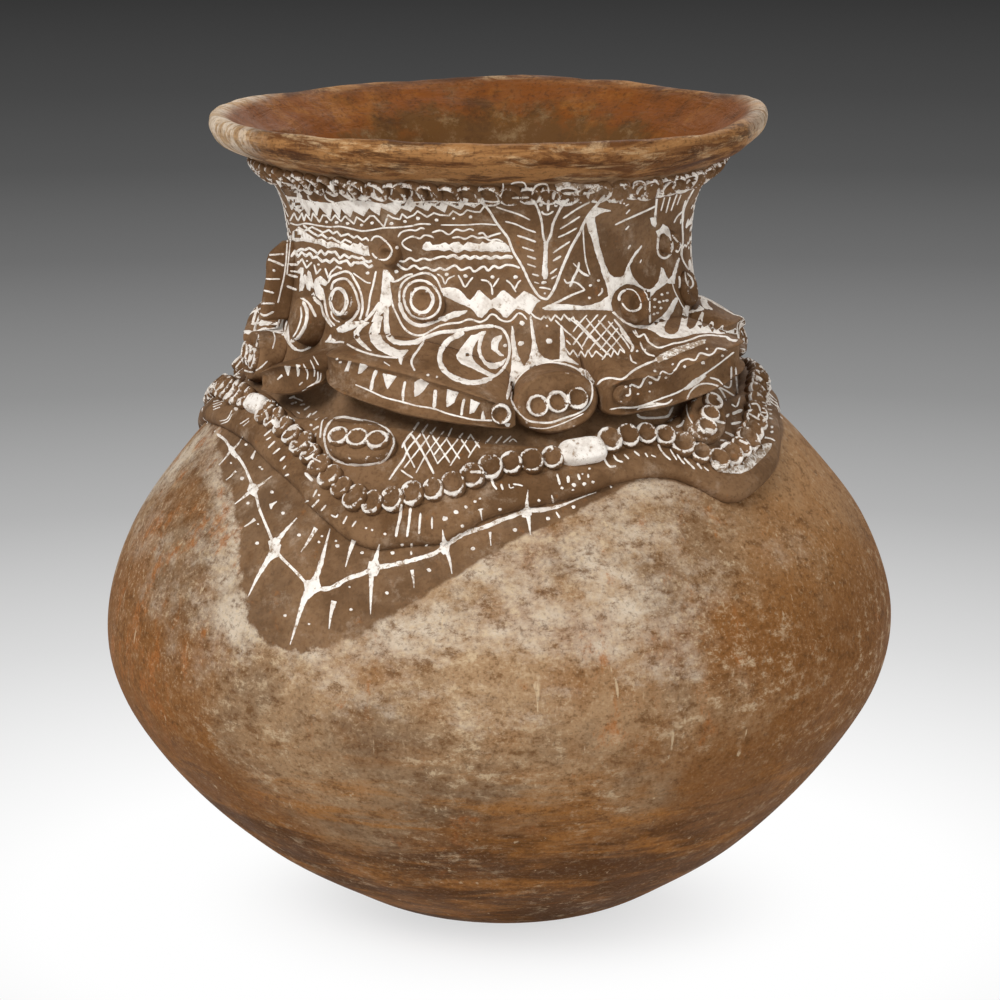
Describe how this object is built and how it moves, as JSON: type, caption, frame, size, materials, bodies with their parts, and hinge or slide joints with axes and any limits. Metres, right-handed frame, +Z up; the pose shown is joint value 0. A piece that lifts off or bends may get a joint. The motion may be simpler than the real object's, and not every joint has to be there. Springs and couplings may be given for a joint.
{
  "type": "storage pot",
  "caption": "Large round-bellied earthenware storage pot with a waisted neck, a thick turned-out lip and faces in applied clay round the neck and shoulder.",
  "frame": {"origin": "centre of the flat foot, on the surface the pot stands on", "axes": "+Z up through the mouth, -Y towards the viewer of the picture, +X to the viewer's right"},
  "size_m": [0.4811, 0.4828, 0.4986],
  "materials": {
    "bare_clay": "matt low-fired earthenware, buff with rusty and grey patches",
    "sooty_clay": "matt earthenware darkened by fire",
    "lip_clay": "matt earthenware, ochre and streaky from wiping",
    "dark_slip": "matt dark brown slip",
    "lime_white": "worn white lime paint"
  },
  "bodies": {
    "root": {"back_eye_left": "dark_slip", "back_eye_right": "dark_slip", "back_jaw_left": "dark_slip", "back_jaw_right": "dark_slip", "back_left_medallion": "dark_slip", "back_left_medallion_rings": "lime_white", "back_left_pellet": "dark_slip", "back_right_medallion": "dark_slip", "back_right_medallion_rings": "lime_white", "back_right_pellet": "dark_slip", "back_snout": "dark_slip", "back_snout_rings": "lime_white", "base_bowl": "sooty_clay", "front_eye_left": "dark_slip", "front_eye_right": "dark_slip", "front_jaw_left": "dark_slip", "front_jaw_right": "dark_slip", "front_left_medallion": "dark_slip", "front_left_medallion_rings": "lime_white", "front_left_pellet": "dark_slip", "front_right_medallion": "dark_slip", "front_right_medallion_rings": "lime_white", "front_right_pellet": "dark_slip", "front_snout": "dark_slip", "front_snout_lump": "lime_white", "front_snout_ring": "lime_white", "front_snout_rings": "lime_white", "left_cheek": "dark_slip", "left_eye_left": "dark_slip", "left_eye_right": "dark_slip", "left_jaw_left": "dark_slip", "left_jaw_right": "dark_slip", "left_nose_flange": "dark_slip", "left_snout": "dark_slip", "left_snout_rings": "lime_white", "lower_belly_wall": "bare_clay", "neck_collar": "dark_slip", "right_eye_left": "dark_slip", "right_eye_right": "dark_slip", "right_jaw_left": "dark_slip", "right_jaw_right": "dark_slip", "right_snout": "dark_slip", "right_snout_rings": "lime_white", "rim_lip": "lip_clay", "rim_strip": "dark_slip", "shoulder_knob_1": "lime_white", "shoulder_knob_2": "lime_white", "shoulder_knob_3": "lime_white", "shoulder_knob_4": "lime_white", "shoulder_mantle": "dark_slip", "shoulder_strip_1": "dark_slip", "shoulder_strip_2": "dark_slip", "shoulder_strip_3": "dark_slip", "shoulder_strip_4": "dark_slip", "shoulder_wall": "bare_clay", "upper_belly_wall": "bare_clay"}
  },
  "joints": []
}
